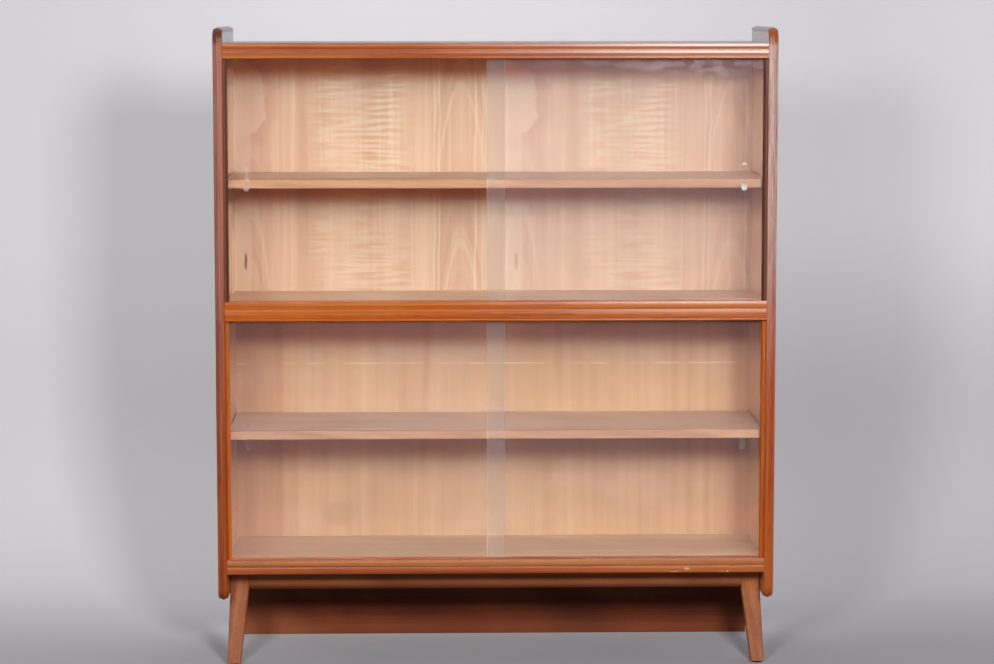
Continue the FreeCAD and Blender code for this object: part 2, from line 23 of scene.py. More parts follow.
# All lengths are metres, and noise frequencies are waves per metre. The object's front faces -Y.

SIGNS = {"left": -1, "right": 1}    # the side of the middle, along X


# Colours


def colour(red, green, blue):
    """Linear colour of an 8-bit display colour."""
    channels = []
    for level in (red, green, blue):
        share = level / 255
        channels.append(share / 12.92 if share < 0.04045 else ((share + 0.055) / 1.055) ** 2.4)
    return (*channels, 1.0)


def palette(dark, middle, light):
    """The three tones of a wood."""
    return colour(*dark), colour(*middle), colour(*light)


OAK = palette((168, 68, 10), (206, 98, 24), (230, 131, 52))
ORANGE = palette((186, 77, 8), (228, 112, 22), (246, 147, 50))
BROWN = palette((164, 62, 6), (214, 100, 16), (236, 142, 54))
# The upper channels' very dark tone is painted shade; the lower channels take the plain brown oak.
SHADED_POST = palette((60, 18, 8), (92, 34, 12), (112, 48, 22))
UPPER_BACK = palette((202, 159, 132), (212, 171, 145), (220, 182, 156))
LOWER_BACK = palette((200, 152, 118), (211, 165, 130), (219, 176, 143))
# The boards' and shelves' tones are greyer than the wood: partly a painted reflection of the bright
# back and sky that their tops show.
BOARD = palette((196, 154, 122), (211, 173, 142), (224, 188, 160))
PANEL_INSIDE = palette((226, 160, 110), (236, 170, 120), (242, 180, 132))
BEECH = palette((166, 89, 44), (193, 110, 61), (213, 131, 79))
STAINED = palette((92, 34, 12), (126, 54, 20), (156, 76, 36))
SHELVES = {"upper": palette((194, 150, 124), (210, 170, 146), (222, 186, 164)),
           "lower": palette((194, 154, 136), (210, 174, 158), (222, 190, 176))}
SHELF_LIPPINGS = {"upper": palette((164, 108, 80), (180, 126, 96), (192, 142, 112)),
                  "lower": palette((171, 117, 90), (187, 136, 108), (199, 151, 124))}
SIDE_LIPPINGS = {"left": palette((136, 46, 4), (184, 76, 10), (214, 112, 40)),
                 "right": palette((152, 54, 6), (206, 88, 14), (232, 126, 48))}

DARK_UNDERSIDE = colour(118, 66, 30)          # underside of a board: unlacquered wood, kept dark as painted shade so that little light bounces under the boards
CAP_REFLECTION = colour(240, 227, 236)         # painted reflection of the backdrop, on the side panel's inner side above the top board
CHIP = colour(250, 208, 164)        # bare wood in a chip
SHEEN_TONE = colour(242, 204, 196)        # painted sheen of the lamps, high on the lippings
POST_EDGE = colour(160, 100, 76)
OAK_PORE, VENEER_PORE = colour(70, 30, 14), colour(74, 32, 14)
# Tones of the painted shadow under the top, the middle board and the shelves, on the left and on
# the right.
PAINTED_SHADOW_LEFT, PAINTED_SHADOW_RIGHT = colour(221, 139, 71), colour(205, 151, 115)
STAIN_MARK = colour(150, 92, 48)


# Node graphs

MIX_ONE, MIX_OTHER, MIX_RESULT = 6, 7, 2    # the colour sockets of a Mix node
SPOT_GRAIN = 260.0                          # frequency of the roughness round a spot's edge


class Graph:
    """The node tree of a material or world, with one short call for each kind of node."""

    def __init__(self, owner, output):
        owner.use_nodes = True
        self.owner = owner
        self.tree = owner.node_tree
        self.tree.nodes.clear()
        self.output = self.new(output)

    def new(self, kind, settings=None, **inputs):
        """A node with its settings and with values or links for its inputs, by name."""
        node = self.tree.nodes.new(kind)
        for key, value in (settings or {}).items():
            setattr(node, key, value)
        for key, value in inputs.items():
            self.put(node.inputs[key.replace("_", " ")], value)
        return node

    def put(self, socket, value):
        """Link a socket, or give it a fixed value."""
        if isinstance(value, bpy.types.NodeSocket):
            self.tree.links.new(value, socket)
        else:
            socket.default_value = value

    def finish(self, shader):
        self.put(self.output.inputs["Surface"], shader)
        return self.owner

    # Numbers

    def math(self, operation, *values):
        node = self.new("ShaderNodeMath", {"operation": operation})
        for socket, value in zip(node.inputs, values):
            self.put(socket, value)
        return node.outputs[0]

    def add(self, one, other):
        return self.math("ADD", one, other)

    def minus(self, one, other):
        return self.math("SUBTRACT", one, other)

    def times(self, one, other):
        return self.math("MULTIPLY", one, other)

    def larger(self, one, other):
        return self.math("MAXIMUM", one, other)

    def absolute(self, value):
        return self.math("ABSOLUTE", value)

    def above(self, value, limit):
        """1 where a value is above a limit, 0 elsewhere."""
        return self.math("GREATER_THAN", value, limit)

    def below(self, value, limit):
        """1 where a value is below a limit, 0 elsewhere."""
        return self.math("LESS_THAN", value, limit)

    def weighed(self, *parts):
        """The sum of several values, each times its weight."""
        return reduce(self.add, [self.times(value, weight) for value, weight in parts])

    def squares(self, *values):
        """The sum of the squares of several values."""
        return reduce(self.add, [self.times(value, value) for value in values])

    def swing(self, noise, width):
        """Noise as a swing to both sides of 0."""
        return self.times(self.minus(noise, 0.5), width)

    def span(self, value, low, high, new_low=0.0, new_high=1.0):
        """Map a value smoothly from one span to another, held at both ends."""
        node = self.new("ShaderNodeMapRange", {"interpolation_type": "SMOOTHSTEP"})
        for socket, item in zip(node.inputs, (value, low, high, new_low, new_high)):
            self.put(socket, item)
        return node.outputs[0]

    # Vectors and noise

    def vector(self, x, y, z):
        return self.new("ShaderNodeCombineXYZ", X=x, Y=y, Z=z).outputs[0]

    def apart(self, vector):
        return self.new("ShaderNodeSeparateXYZ", Vector=vector).outputs

    def noise(self, vector, detail=2.0, roughness=0.5, distortion=0.0):
        node = self.new("ShaderNodeTexNoise", Vector=vector, Scale=1.0, Detail=detail,
                        Roughness=roughness, Distortion=distortion)
        return node.outputs["Fac"]

    # Colours

    def mix(self, factor, one, other, blend="MIX"):
        settings = {"data_type": "RGBA", "blend_type": blend, "clamp_factor": True}
        node = self.new("ShaderNodeMix", settings, Factor=factor)
        self.put(node.inputs[MIX_ONE], one)
        self.put(node.inputs[MIX_OTHER], other)
        return node.outputs[MIX_RESULT]

    def touch(self, tint, tone, where, share):
        """Some of another tone, where a value is above 0."""
        return self.mix(self.times(where, share), tint, tone)

    def product(self, one, other):
        """Two colours multiplied."""
        return self.mix(1.0, one, other, "MULTIPLY")

    def dimmed(self, tone, level):
        """A colour times a level."""
        return self.product(tone, self.vector(level, level, level))

    def ramp(self, factor, places, tones):
        """Tones along a factor, one at each place."""
        node = self.new("ShaderNodeValToRGB", Fac=factor)
        elements = node.color_ramp.elements
        while len(elements) < len(places):
            elements.new(0.5)
        for element, place, tone in zip(elements, places, tones):
            element.position = place
            element.color = tone
        return node.outputs["Color"]

    # Shaders

    def blend(self, factor, one, other):
        """Two shaders mixed."""
        node = self.new("ShaderNodeMixShader", Fac=factor)
        self.put(node.inputs[1], one)
        self.put(node.inputs[2], other)
        return node.outputs[0]

    def ray(self, kind):
        """1 for one kind of ray, such as Camera, 0 for the others."""
        return self.new("ShaderNodeLightPath").outputs["Is %s Ray" % kind]

    def principled(self, tint, roughness, normal=None, **sockets):
        node = self.new("ShaderNodeBsdfPrincipled", Base_Color=tint, Roughness=roughness, **sockets)
        if normal is not None:
            self.put(node.inputs["Normal"], normal)
        return node.outputs[0]


class Surface(Graph):
    """A material's node tree. x, y and z are the place on the object."""

    def __init__(self, name):
        super().__init__(bpy.data.materials.new(name), "ShaderNodeOutputMaterial")
        self.axes = tuple(self.apart(self.new("ShaderNodeTexCoord").outputs["Object"]))
        self.x, self.y, self.z = self.axes

    def facing(self, axis):
        """The part of the surface's normal along X, Y or Z."""
        return self.apart(self.new("ShaderNodeNewGeometry").outputs["Normal"])[axis]

    def clouds(self, along_x, along_y, along_z, **settings):
        """Noise over the object, with its own frequency along each axis."""
        frequencies = zip(self.axes, (along_x, along_y, along_z))
        scaled = [self.times(axis, waves) if waves else 0.0 for axis, waves in frequencies]
        return self.noise(self.vector(*scaled), **settings)

    def pattern(self, place, across, up, seed, detail=2.0):
        """Noise over a face that stands upright, for a place across it and the height."""
        vector = self.vector(self.times(place, across), self.times(self.z, up), seed)
        return self.noise(vector, detail)

    def spot(self, centre, reach, edge, roughness, seed=0.0):
        """1 inside a rough ellipsoid round a point of the object, falling to 0 at its edge."""
        away = self.squares(*(self.times(self.minus(axis, middle), 1 / radius)
                              for axis, middle, radius in zip(self.axes, centre, reach)))
        x, y, z = (self.times(axis, SPOT_GRAIN) for axis in self.axes)
        fine = self.noise(self.vector(self.add(x, seed), y, z))
        return self.span(self.add(away, self.swing(fine, roughness)), 1 + edge, 1 - edge)

    def marked(self, tint, marks, edge, roughness, seed):
        """Chips and stains, each with its centre, reach, tone and strength."""
        for centre, reach, tone, share in marks:
            tint = self.touch(tint, tone, self.spot(centre, reach, edge, roughness, seed), share)
        return tint

    def bump(self, height, strength, depth):
        node = self.new("ShaderNodeBump", Strength=strength, Distance=depth, Height=height)
        return node.outputs[0]


# Woods. Grain runs along one axis, and the growth rings are cut at a slight slope, which gives
# the arches of plain-sliced veneer.

ALONG_PER_SEED, ACROSS_PER_SEED = 1.7, 0.31     # how far a seed moves a board's pattern
PORE_WIDTH = 0.0007
RING_WAVER = 0.016
GRAIN_DEPTH = 0.0006
OAK_STOPS, VENEER_STOPS = (0.36, 0.5, 0.66), (0.40, 0.53, 0.68)
MAPLE_STOPS, PANEL_STOPS = (0.4, 0.52, 0.64), (0.42, 0.52, 0.62)


class Grain:
    """Coordinates of a board: along the grain, across its face and through it.

    axes names the three in that order, such as "zxy", with a dash for none. path is a length
    that takes the place of the first.
    """

    def __init__(self, graph, axes, seed, path=None):
        g = graph
        values = {"x": g.x, "y": g.y, "z": g.z, "-": 0.0}
        along, across, self.through = (values[letter] for letter in axes)
        self.graph = g
        self.along = g.add(along if path is None else path, seed * ALONG_PER_SEED)
        self.across = g.add(across, seed * ACROSS_PER_SEED)
        self.middle = seed * ACROSS_PER_SEED

    def streaks(self, length, width, detail=2.0, roughness=0.5, distortion=0.0):
        """Noise drawn out along the grain."""
        g = self.graph
        vector = g.vector(g.times(self.along, 1 / length), g.times(self.across, 1 / width),
                          g.times(self.through, 1 / width))
        return g.noise(vector, detail, roughness, distortion)

    def pores(self, length):
        return self.graph.span(self.streaks(length, PORE_WIDTH, detail=0.0), 0.60, 0.72)

    def rings(self, heart, rise, slope, spacing):
        """Noise on the distance from a sloping heart line, so that it bends into arches."""
        g = self.graph
        waviness = g.swing(self.streaks(0.35, 0.05), RING_WAVER)
        side = g.add(g.minus(self.across, self.middle + heart), waviness)
        depth = g.add(g.times(self.along, slope), rise)
        radius = g.math("SQRT", g.squares(side, depth))
        vector = g.vector(g.times(radius, 1 / spacing), g.times(self.along, 0.35), self.through)
        return g.noise(vector, 1.5, 0.45)


def lacquer(g, tint, rough, height, relief, coat, coat_rough=0.38, coat_ior=1.5, specular=0.5):
    """A coat of lacquer over wood whose grain stands out a little."""
    normal = g.bump(height, relief, GRAIN_DEPTH)
    return g.finish(g.principled(tint, rough, normal, Specular_IOR_Level=specular, Coat_Weight=coat,
                                 Coat_Roughness=coat_rough, Coat_IOR=coat_ior))


def oak(name, axes, seed, tones, path=None, marks=(), details=(), coat=0.6, coat_rough=0.36,
        coat_ior=1.7):
    """Lacquered oak: broad bands, fine streaks and short dark pores."""
    g = Surface(name)
    grain = Grain(g, axes, seed, path(g) if path else None)
    bands = grain.streaks(0.9, 0.011, detail=2.5, roughness=0.55, distortion=0.4)
    lines = grain.streaks(0.35, 0.0026, roughness=0.6)
    fibre = grain.streaks(0.05, 0.0009, detail=1.0)
    tint = g.ramp(g.weighed((bands, 0.55), (lines, 0.35), (fibre, 0.16)), OAK_STOPS, tones)
    porous = g.span(grain.streaks(0.6, 0.005, detail=1.0), 0.45, 0.62)
    pores = g.times(grain.pores(0.035), porous)
    tint = g.touch(tint, OAK_PORE, pores, 0.55)
    dull = g.clouds(9.0, 9.0, 9.0, detail=3.0)
    middle = tones[1]
    tint = g.mix(g.span(dull, 0.35, 0.75, 0.0, 0.18), tint, middle, "MULTIPLY")
    for detail in details:
        tint = detail(g, tint)
    tint = g.marked(tint, marks, 0.4, 1.2, seed)
    rough = g.span(dull, 0.2, 0.8, 0.42, 0.58)
    height = g.minus(g.times(lines, 0.5), pores)
    weight = coat(g) if callable(coat) else coat
    return lacquer(g, tint, rough, height, 0.3, weight, coat_rough, coat_ior, specular=0.2)


def maple(name, axes, seed, tones, pores=0.3, slope=0.05, spacing=0.009, marks=(), details=(),
          dark_underside=False, rough=(0.42, 0.58), coat=0.1, coat_rough=0.38):
    """Close-grained wood or veneer with faint arches, soft streaks and fine flecks."""
    g = Surface(name)
    grain = Grain(g, axes, seed)
    rings = grain.rings(0.0, 0.02, slope, spacing)
    broad = grain.streaks(1.1, 0.05, distortion=0.3)
    fine = grain.streaks(0.4, 0.004)
    fleck = g.span(grain.streaks(0.018, 0.0010, detail=0.0), 0.62, 0.75)
    cloud = g.clouds(3.1, 3.1, 3.1, detail=3.0)
    tone = g.weighed((rings, 0.34), (broad, 0.34), (fine, 0.16), (cloud, 0.2))
    dark = tones[0]
    tint = g.touch(g.ramp(tone, MAPLE_STOPS, tones), dark, fleck, pores)
    tint = g.marked(tint, marks, 0.5, 0.9, seed)
    for detail in details:
        tint = detail(g, tint)
    # Darker undersides: unlacquered wood, and painted shade that bounces less light into the shade
    # below the boards.
    if dark_underside:
        tint = g.touch(tint, DARK_UNDERSIDE, g.below(g.facing("Z"), -0.5), 0.85)
    gloss = g.span(cloud, 0.3, 0.7, *rough)
    height = g.weighed((fine, 0.6), (rings, 0.4))
    return lacquer(g, tint, gloss, height, 0.05, coat, coat_rough, specular=0.25)


TOP_OF_BOARD = 1.3435               # above it the side panels stand free
VENEER_CHANGE = (0.5853, 0.5858)    # from the middle, where the inner veneer gives way to oak


def side_skin(name, seed):
    """Oak veneer on a side panel's outer face and edges, pale veneer on its inner face."""
    g = Surface(name)
    grain = Grain(g, "zyx", seed)
    rings = grain.rings(-0.01, 0.015, 0.045, 0.006)
    lines = grain.streaks(0.35, 0.0026, roughness=0.6)
    figure = g.weighed((rings, 0.55), (lines, 0.3), (grain.streaks(1.0, 0.04), 0.2))
    pores = g.times(grain.pores(0.04), g.span(rings, 0.48, 0.6))
    outer = g.touch(g.ramp(figure, VENEER_STOPS, OAK), VENEER_PORE, pores, 0.6)
    cloud = g.clouds(3.1, 4.1, 3.1, detail=3.0)
    soft = g.weighed((rings, 0.15), (grain.streaks(1.2, 0.05), 0.4), (cloud, 0.49))
    inner = g.ramp(soft, PANEL_STOPS, PANEL_INSIDE)
    # Above the top board the inner face is pale: a painted reflection of the backdrop.
    inner = g.mix(g.above(g.z, TOP_OF_BOARD), inner, CAP_REFLECTION)
    is_outer = g.span(g.absolute(g.x), *VENEER_CHANGE)
    tint = g.mix(is_outer, inner, outer)
    gloss = g.span(cloud, 0.3, 0.7, 0.3, 0.45)
    height = g.minus(g.times(lines, 0.5), pores)
    return lacquer(g, tint, gloss, height, 0.1, coat=1.0, coat_rough=0.12)


# Details of the lippings, fascias and posts

MIDDLE_HEIGHT = 0.75
HEAD_FOOT, HEAD_FULL = 1.335, 1.352     # where a side lipping takes on the tone of its head
SWEPT_FROM = -0.1385                    # behind it a lipping runs back along the panel's end
PALE_WITHIN = 0.592                     # nearer the middle that part is pale, like the cap
SHEEN_ACROSS, SHEEN_UP = (0.585, 0.594), (0.52, 1.15)     # from the middle, and up the lipping
POST_EDGE_ACROSS = (0.5745, 0.5785)


def lipping_path(g):
    """Length along a lipping: up the front edge, and back along the top and the bottom."""
    upper = g.add(g.z, g.y)
    lower = g.minus(g.z, g.y)
    high = g.above(g.z, MIDDLE_HEIGHT)
    return g.add(g.times(upper, high), g.times(lower, g.minus(1.0, high)))


def worn_to_foot(g):
    """Lacquer that is full high on a lipping and thin near its lower end."""
    return g.span(g.z, 0.3, 0.9, 0.08, 1.0)


def worn_to_left(g):
    """Lacquer that is full at the right end of a strip and thin at the left."""
    return g.span(g.x, -0.25, 0.5, 0.15, 1.0)


def painted_sheen(most, least, inner):
    """Painted sheen: a pale streaky tone high on a lipping that stands for the lamps' reflection,
    with its own share on the inner half.
    """
    def detail(g, tint):
        across = g.span(g.absolute(g.x), *SHEEN_ACROSS, inner, 1.0)
        cloudy = g.clouds(380.0, 380.0, 16.0, detail=3.0, roughness=0.65)
        mottle = g.span(cloudy, 0.36, 0.62, 0.4, 1.35)
        below_head = g.span(g.z, HEAD_FULL, HEAD_FOOT - 0.005)
        share = g.times(g.times(across, mottle), below_head)
        return g.touch(tint, SHEEN_TONE, share, g.span(g.z, *SHEEN_UP, least, most))
    return detail


def shaded_head(tone):
    """The head of a lipping in a tone of painted shade, where its curved top turns from the light,
    and pale with a painted reflection where it faces the top board.
    """
    def detail(g, tint):
        tint = g.mix(g.span(g.z, HEAD_FOOT, HEAD_FULL, 0.0, 0.75), tint, tone)
        swept = g.times(g.above(g.y, SWEPT_FROM), g.below(g.absolute(g.x), PALE_WITHIN))
        return g.touch(tint, CAP_REFLECTION, swept, g.above(g.z, TOP_OF_BOARD))
    return detail


def pale_outer_edge(g, tint):
    """A paler strip along the outer edge of a post."""
    return g.mix(g.span(g.absolute(g.x), *POST_EDGE_ACROSS, 0.0, 0.8), tint, POST_EDGE)


# Details of the back panels. The upper back has two matching veneer leaves.

HALF_INSIDE = 0.580
LEAF_WIDTH = 0.608
LEAF_JOINT = LEAF_WIDTH - HALF_INSIDE
TOP_OF_UPPER_BACK, UNDER_UPPER_SHELF = 1.31, 1.032
TOP_OF_LOWER_BACK, UNDER_LOWER_SHELF = 0.75, 0.488
HEARTS = ((0.508, 0.085, 3.0), (0.035, 0.075, 7.0))    # place in the leaf, reach and seed
LOBE_PLACE, LOBE_HEIGHT = 0.004, 1.214
LOBE_HALF_WIDTH, LOBE_HALF_HEIGHT = 0.068, 0.085
KNOT_PLACE, KNOT_HEIGHT = 0.024, 0.849
KNOT_HALF_WIDTH, KNOT_HALF_HEIGHT = 0.0035, 0.021
SCRATCH_HEIGHT = 0.6179
UPPER_BAND, LOWER_BAND = 0.053, 0.09                   # depth of the bands of painted shadow
STRAIGHT_LINES = ((0.0015, 0.0018, 0.40),)             # place in the leaf, half width, strength
SWAYING_LINES = ((0.4474, 0.0022, 0.26), (0.4586, 0.0020, 0.30), (0.5400, 0.0028, 0.38),
                 (0.5565, 0.0020, 0.26), (0.5630, 0.0018, 0.22))
RIPPLE_LIGHT, RIPPLE_DARK = colour(247, 239, 214), colour(200, 148, 112)
ARCH_LIGHT, ARCH_DARK = colour(244, 226, 200), colour(194, 144, 124)
STREAK_LIGHT, STREAK_DARK = colour(244, 228, 204), colour(202, 152, 126)
LOBE_TONE, LOBE_RIM = colour(228, 196, 174), colour(184, 130, 108)
BRIGHT_LINE, KNOT = colour(248, 228, 198), colour(96, 52, 34)
DULL, PALER_LEAF, DUSKY = colour(204, 158, 138), colour(234, 208, 190), colour(184, 134, 112)
WARM_PATCH, PALE_PATCH = colour(222, 172, 122), colour(224, 180, 160)
SCRATCH, END_SHADE = colour(248, 222, 196), colour(216, 190, 176)


def leaf_place(g):
    """Distance from the left edge of the veneer leaf."""
    return g.math("FLOORED_MODULO", g.add(g.x, HALF_INSIDE), LEAF_WIDTH)


def ripple(g, place, tint):
    """Short wavy lines across the grain, in the middle of each leaf."""
    bend = g.swing(g.pattern(place, 14.0, 9.0, 2.0), 1.6)
    wave = g.add(g.times(g.z, 130.0), bend)
    lines = g.noise(g.vector(g.times(place, 12.0), wave, 5.0), 1.0, 0.4)
    inside = g.times(g.span(place, 0.150, 0.215), g.span(place, 0.420, 0.350))
    inside = g.times(inside, g.span(g.pattern(place, 11.0, 7.0, 9.0), 0.36, 0.62, 0.25, 1.0))
    crests = g.times(inside, g.span(lines, 0.40, 0.62))
    hollows = g.times(inside, g.span(lines, 0.44, 0.30))
    tint = g.touch(tint, RIPPLE_LIGHT, crests, 0.26)
    return g.touch(tint, RIPPLE_DARK, hollows, 0.38)


def arches(g, place, tint):
    """Arches of the growth rings round two hearts in each leaf."""
    for heart, reach, seed in HEARTS:
        off = g.minus(place, heart)
        wander = g.noise(g.vector(g.times(g.z, 4.0), seed, g.times(place, 6.0)))
        side = g.add(off, g.swing(wander, 0.03))
        depth = g.add(g.times(g.z, 0.075), 0.004)
        radius = g.math("SQRT", g.squares(side, depth))
        ring = g.noise(g.vector(g.times(radius, 150.0), seed, g.times(g.z, 1.2)), 1.0)
        near = g.span(g.absolute(off), reach, reach * 0.3)
        tint = g.touch(tint, ARCH_LIGHT, g.times(g.span(ring, 0.56, 0.66), near), 0.25)
        tint = g.touch(tint, ARCH_DARK, g.times(g.span(ring, 0.46, 0.36), near), 0.45)
    return tint


def straight_streaks(g, place, tint):
    """Light and dark streaks that run straight up."""
    streak = g.pattern(place, 120.0, 1.3, 1.0, detail=1.0)
    tint = g.mix(g.span(streak, 0.58, 0.72, 0.0, 0.16), tint, STREAK_LIGHT)
    return g.mix(g.span(streak, 0.42, 0.30, 0.0, 0.22), tint, STREAK_DARK)


def lobe(g, place, tint):
    """A pale lobe at the left of each leaf, with a dark rim, and a pale strip below it."""
    away = g.new("ShaderNodeVectorMath", {"operation": "LENGTH"})
    g.put(away.inputs[0], g.vector(g.times(g.minus(place, LOBE_PLACE), 1 / LOBE_HALF_WIDTH),
                                   g.times(g.minus(g.z, LOBE_HEIGHT), 1 / LOBE_HALF_HEIGHT), 0.0))
    wobble = g.swing(g.pattern(place, 26.0, 22.0, 4.0, detail=3.0), 0.75)
    reach = g.add(away.outputs["Value"], wobble)
    rim = g.times(g.span(reach, 0.96, 1.06), g.span(reach, 1.6, 1.1))
    tint = g.touch(tint, LOBE_RIM, rim, 0.42)
    strip = g.span(g.add(place, g.times(wobble, 0.02)), 0.042, 0.034)
    strip = g.times(strip, g.below(g.z, LOBE_HEIGHT))
    inside = g.larger(g.span(reach, 1.06, 0.96), strip)
    return g.touch(tint, LOBE_TONE, inside, 0.6)


def bright_lines(g, place, tint):
    """Thin bright lines, straight at the joint and swaying beside the arches."""
    sway = g.swing(g.noise(g.vector(0.0, g.times(g.z, 4.5), 6.0)), 0.016)
    for lines, shift in ((STRAIGHT_LINES, 0.0), (SWAYING_LINES, sway)):
        for middle, half_width, share in lines:
            off = g.absolute(g.minus(g.add(place, shift), middle))
            line = g.span(off, half_width, half_width * 0.4, 0.0, share)
            tint = g.mix(line, tint, BRIGHT_LINE)
    return tint


def leaf_tones(g, place, tint):
    """Duller wood beside the lobe, a paler right leaf and a dusky zone at each leaf's end."""
    tint = g.touch(tint, DULL, g.span(place, 0.150, 0.090), 0.22)
    right_leaf = g.above(g.x, LEAF_JOINT)
    tint = g.touch(tint, PALER_LEAF, right_leaf, 0.16)
    cloudy = g.span(g.pattern(place, 30.0, 7.0, 8.0), 0.38, 0.6, 0.35, 1.0)
    dusky = g.times(cloudy, g.span(place, 0.475, 0.515))
    strength = g.add(g.times(right_leaf, 0.35), 0.08)
    return g.touch(tint, DUSKY, dusky, strength)


def painted_shadow_bands(g, tint, depth, bands):
    """Painted shadow: bands of a warmer, darker tone on the inner face, under the edges where shade
    falls and little light has reached it.

    Each band hangs down from an edge and has its own strength.
    """
    shadow_tint = g.mix(g.span(g.x, -0.1, 0.35), PAINTED_SHADOW_LEFT, PAINTED_SHADOW_RIGHT)
    inside = g.below(g.facing("Y"), 0.0)
    for edge, share in bands:
        foot = edge - depth
        band = g.times(g.span(g.z, foot - 0.014, foot + 0.026), g.below(g.z, edge + 0.008))
        tint = g.touch(tint, g.product(tint, shadow_tint), g.times(band, inside), share)
    return tint


def leaf_figure(g, tint):
    """The figure of the upper back's two leaves, and its bands of painted shadow under the top and
    the shelf.
    """
    place = leaf_place(g)
    for part in (ripple, arches, straight_streaks, lobe, bright_lines, leaf_tones):
        tint = part(g, place, tint)
    return painted_shadow_bands(g, tint, UPPER_BAND, ((TOP_OF_UPPER_BACK, 1.0), (UNDER_UPPER_SHELF, 1.0)))


def knots(g, tint):
    """A dark knot line low in each leaf."""
    bend = g.swing(g.noise(g.vector(g.times(g.z, 60.0), 3.0, 0.0)), 0.006)
    place = g.add(leaf_place(g), bend)
    side = g.times(g.minus(place, KNOT_PLACE), 1 / KNOT_HALF_WIDTH)
    high = g.times(g.minus(g.z, KNOT_HEIGHT), 1 / KNOT_HALF_HEIGHT)
    knot = g.span(g.squares(side, high), 1.2, 0.5)
    strength = g.add(g.times(g.below(g.x, 0.0), 0.4), 0.35)
    return g.touch(tint, KNOT, knot, strength)


def lower_figure(g, tint):
    """The lower back: patches, one pale scratch, painted shade at both ends and bands of painted
    shadow.
    """
    patch = g.pattern(g.x, 4.5, 6.5, 3.0)
    tint = g.mix(g.span(patch, 0.38, 0.48, 0.22, 0.0), tint, WARM_PATCH)
    tint = g.mix(g.span(patch, 0.52, 0.62, 0.0, 0.25), tint, PALE_PATCH)
    scratch = g.span(g.absolute(g.minus(g.z, SCRATCH_HEIGHT)), 0.0028, 0.0008)
    broken = g.span(g.noise(g.vector(g.times(g.x, 9.0), 0.0, 1.0)), 0.45, 0.55)
    tint = g.touch(tint, SCRATCH, g.times(scratch, broken), 0.35)
    # Painted shade at both ends, where the side panels cast their shadow on the back.
    ends = g.add(g.span(g.x, -0.44, -0.50), g.span(g.x, 0.50, 0.56))
    tint = g.touch(tint, g.product(tint, END_SHADE), ends, 0.5)
    return painted_shadow_bands(g, tint, LOWER_BAND, ((TOP_OF_LOWER_BACK, 0.85), (UNDER_LOWER_SHELF, 0.72)))


# Details of the stand

# Tone of the painted light on the rear board.
PAINTED_LIGHT_TONE = colour(196, 112, 74)


def painted_light_patches(g, tint):
    """Painted light: a lighter tone at the rear board's left end, where lamp light slants in from
    the left, and along its lower edge, where light falls in under the rail.
    """
    slant = g.add(g.x, g.times(g.z, 1.1))
    end = g.times(g.span(slant, -0.34, -0.47), 0.45)
    low = g.span(g.z, 0.05, 0.005, 0.0, 0.3)
    return g.mix(g.add(end, low), tint, PAINTED_LIGHT_TONE)


def painted_shade_lower_edge(g, tint):
    """Painted shade along the lower edge of the front rail, where its rounded edge turns down from
    the light.
    """
    dark = STAINED[0]
    return g.mix(g.span(g.z, 0.170, 0.158, 0.0, 0.75), tint, dark)


# Glass, metal and plastic

PANE_FRONT = {"left": -0.1405, "right": -0.1305}
FROST = {"left": colour(250, 226, 212), "right": colour(250, 248, 244)}    # ground glass, also the painted highlights at the pulls' ends
GLASS_IOR = 1.5
CLEAR_TONE, SHADOW_TONE = colour(250, 254, 251), colour(248, 250, 249)
# Tone of the panes' film of dust and painted reflection.
DUST_AND_REFLECTION_TONE = colour(226, 200, 212)
TARNISH = colour(96, 70, 44)
PLASTIC, SCUFF = colour(30, 27, 25), colour(92, 84, 76)
PULL_X, PULL_RISE = 0.5325, 0.271   # a finger pull's place: from the middle, and up the pane
PULL_HALF_WIDTH, PULL_HALF_STRAIGHT, PULL_DEPTH = 0.0062, 0.024, 0.0019


